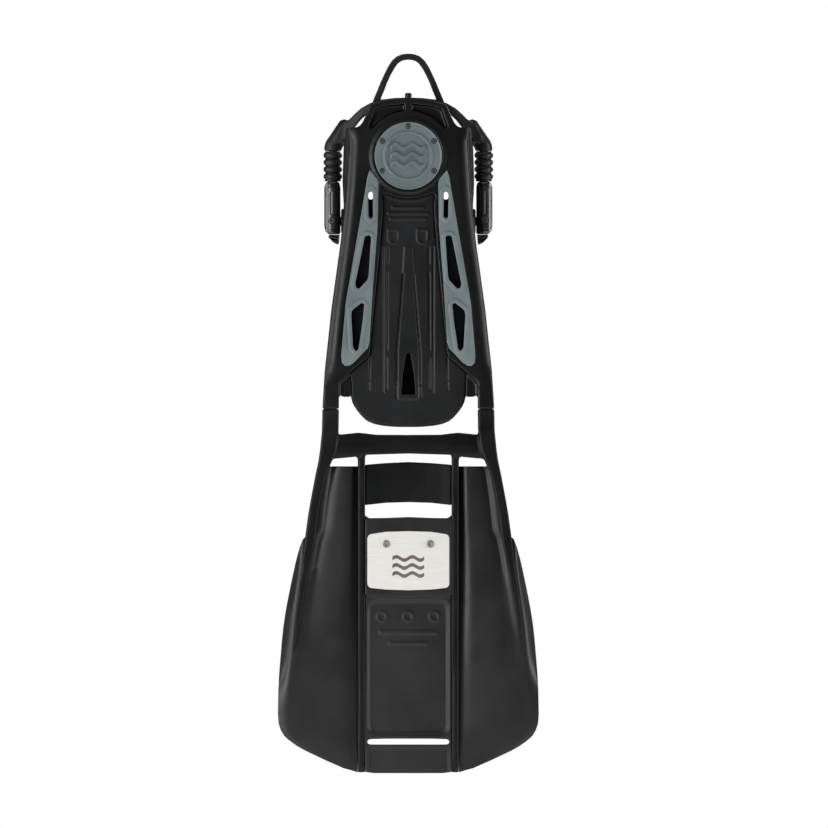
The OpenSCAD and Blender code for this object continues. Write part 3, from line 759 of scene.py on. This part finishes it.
class FIN_OT_heel(bpy.types.Operator):
    """Heel band and its pull loop"""

    bl_idname = "fin.heel"
    bl_label = "Heel pad"

    def execute(self, context):
        band = moulded(["heel_band"], "heel_strap_band", 0.8, 10)
        dress(band, "band", "band_rubber", "heel_pad", "heel_band")
        loop = moulded(["pull_loop"], "finger_loop", 0.5, 10)
        dress(loop, "band", "band_rubber", "heel_pad", "pull_loop")
        return {"FINISHED"}


# ---------- studio ----------


def light_walls(scene, fill):
    """White walls behind the fin. The light that reaches it from them is dimmed, so blacks stay black."""
    world = bpy.data.worlds.new("white_studio")
    scene.world = world
    world.use_nodes = True
    tree = world.node_tree
    tree.nodes.clear()
    walls = add_node(
        tree, "ShaderNodeBackground", sockets={"Color": linear("#ffffff"), "Strength": 1.0}
    )
    dimmed = add_node(
        tree, "ShaderNodeBackground", sockets={"Color": linear("#f4f7fa"), "Strength": fill}
    )
    seen = add_node(tree, "ShaderNodeLightPath").outputs["Is Camera Ray"]
    mixed = add_node(
        tree,
        "ShaderNodeMixShader",
        {0: seen, 1: dimmed.outputs["Background"], 2: walls.outputs["Background"]},
    )
    add_node(tree, "ShaderNodeOutputWorld", {"Surface": mixed.outputs["Shader"]})


def lay_floor(level):
    """A matt white board under the fin."""
    bpy.ops.mesh.primitive_plane_add(size=2.0, location=(0, 0, level))
    floor = bpy.context.object
    floor.name = "studio_floor"
    material, _, shader, _ = start_material("matt_white_board")
    shader.inputs["Base Color"].default_value = linear("#f1f1f1")
    shader.inputs["Roughness"].default_value = 0.9
    shader.inputs["Emission Color"].default_value = linear("#ffffff")
    shader.inputs["Emission Strength"].default_value = 0.6
    floor.data.materials.append(material)


def hang_lamps(middle):
    """Soft boxes round the fin: name, place, size and watts. All face its middle."""
    boxes = (
        ("left_strip_box", (-1.5, -0.5, middle + 0.2), (0.3, 1.8), 11),
        ("front_strip_box", (-1.2, -1.4, middle), (0.2, 1.8), 9),
        ("right_strip_box", (1.6, -0.45, middle + 0.1), (0.3, 1.6), 15),
        ("front_soft_box", (-1.4, -1.9, middle - 0.1), (0.8, 0.8), 11),
        ("top_soft_box", (0.0, -0.3, middle + 1.6), (1.4, 0.5), 3),
        ("back_soft_box", (0.9, 2.2, middle + 0.8), (1.2, 1.2), 12),
    )
    for name, spot, size, power in boxes:
        bpy.ops.object.light_add(type="AREA", location=spot)
        lamp = bpy.context.object
        lamp.name = name
        lamp.data.shape = "RECTANGLE"
        lamp.data.size, lamp.data.size_y = size
        lamp.data.energy = power
        aim = Vector((0, 0, middle)) - Vector(spot)
        lamp.rotation_euler = aim.to_track_quat("-Z", "Y").to_euler()


def place_camera(scene, stage, middle):
    """A level camera that looks at the sole and aims a little beside the middle plane."""
    sensor_mm = 36
    beside = 5 * MM
    turn = stage.azimuth
    eye = Vector((math.sin(turn), -math.cos(turn), 0)) * stage.distance
    side = Vector((math.cos(turn), math.sin(turn), 0)) * beside
    bpy.ops.object.camera_add(
        location=eye + side + Vector((0, 0, middle)), rotation=(math.radians(90), 0, turn)
    )
    camera = bpy.context.object
    camera.name = "studio_camera"
    camera.data.sensor_width = sensor_mm
    camera.data.lens = sensor_mm * stage.distance / stage.view_width
    camera.data.clip_end = 60
    scene.camera = camera


class FIN_OT_stage(bpy.types.Operator):
    """White studio, soft boxes and camera"""

    bl_idname = "fin.stage"
    bl_label = "Studio"

    def execute(self, context):
        scene = context.scene
        stage = scene.fin_stage
        middle = height(316)  # the level at the centre of the view
        scene.view_settings.view_transform = "Standard"
        scene.view_settings.look = "None"
        light_walls(scene, stage.fill)
        lay_floor(TIP - stage.floor_gap)
        hang_lamps(middle)
        place_camera(scene, stage, middle)
        return {"FINISHED"}


class FIN_PT_panel(bpy.types.Panel):
    """Lists the fin's sizes, colours and steps"""

    bl_label = "Diving fin"
    bl_idname = "FIN_PT_panel"
    bl_space_type = "VIEW_3D"
    bl_region_type = "UI"
    bl_category = "Diving fin"

    def draw(self, context):
        for group in (context.scene.fin_looks, context.scene.fin_stage):
            for key in group.__annotations__:
                self.layout.prop(group, key)
        for step in STEPS:
            self.layout.operator(step.bl_idname)


STEPS = (
    FIN_OT_finishes,
    FIN_OT_foot,
    FIN_OT_sole,
    FIN_OT_blade,
    FIN_OT_plate,
    FIN_OT_strap,
    FIN_OT_heel,
    FIN_OT_stage,
)
CLASSES = (FinLooks, FinStage, *STEPS, FIN_PT_panel)


def register():
    for cls in CLASSES:
        bpy.utils.register_class(cls)
    bpy.types.Scene.fin_looks = bpy.props.PointerProperty(type=FinLooks)
    bpy.types.Scene.fin_stage = bpy.props.PointerProperty(type=FinStage)


def unregister():
    del bpy.types.Scene.fin_stage
    del bpy.types.Scene.fin_looks
    for cls in reversed(CLASSES):
        bpy.utils.unregister_class(cls)


def main():
    """Registers the fin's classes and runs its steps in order."""
    register()
    for step in STEPS:
        group, name = step.bl_idname.split(".")
        getattr(getattr(bpy.ops, group), name)()


if __name__ == "__main__":
    main()
